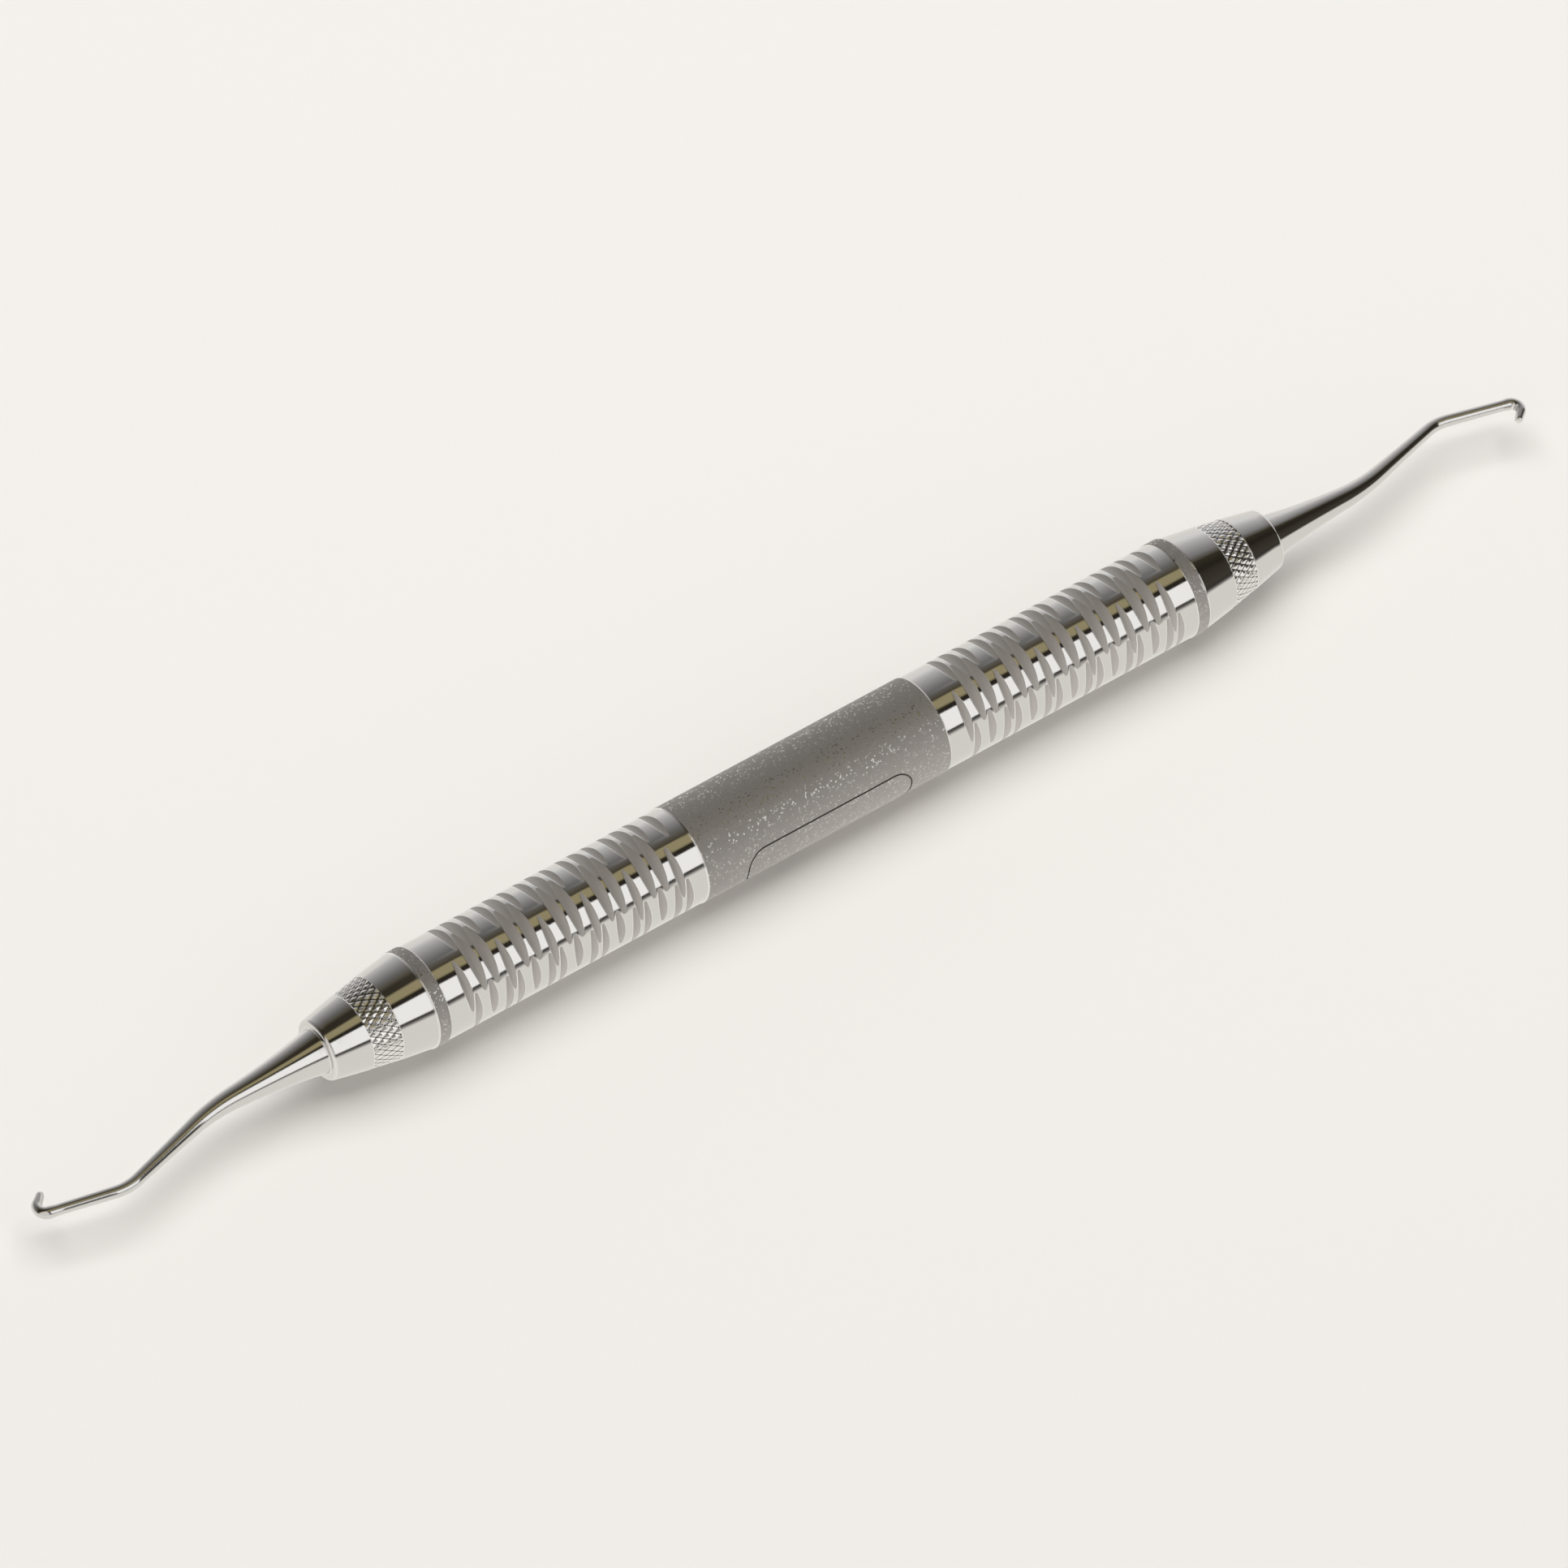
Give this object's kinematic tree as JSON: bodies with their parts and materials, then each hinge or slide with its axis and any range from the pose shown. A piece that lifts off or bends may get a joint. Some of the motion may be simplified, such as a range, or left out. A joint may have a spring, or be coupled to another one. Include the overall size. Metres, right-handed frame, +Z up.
{
  "type": "gracey curette",
  "caption": "Double-ended steel hand curette: hollow round handle, knurled end cones, slim bent shanks with small half-round hooked blades.",
  "frame": {"origin": "on the surface that the handle rests on, midway along the handle, under its axis", "axes": "+X along the handle, +Z up, square to the surface that it rests on"},
  "size_m": [0.1766, 0.01, 0.0101],
  "materials": {
    "matte_steel": "bead blasted stainless steel",
    "polished_steel": "mirror polished stainless steel"
  },
  "bodies": {
    "root": {"handle_tube": "matte_steel", "left_end_cone": "polished_steel", "right_end_cone": "polished_steel", "left_working_end": "polished_steel", "right_working_end": "polished_steel"}
  },
  "joints": []
}
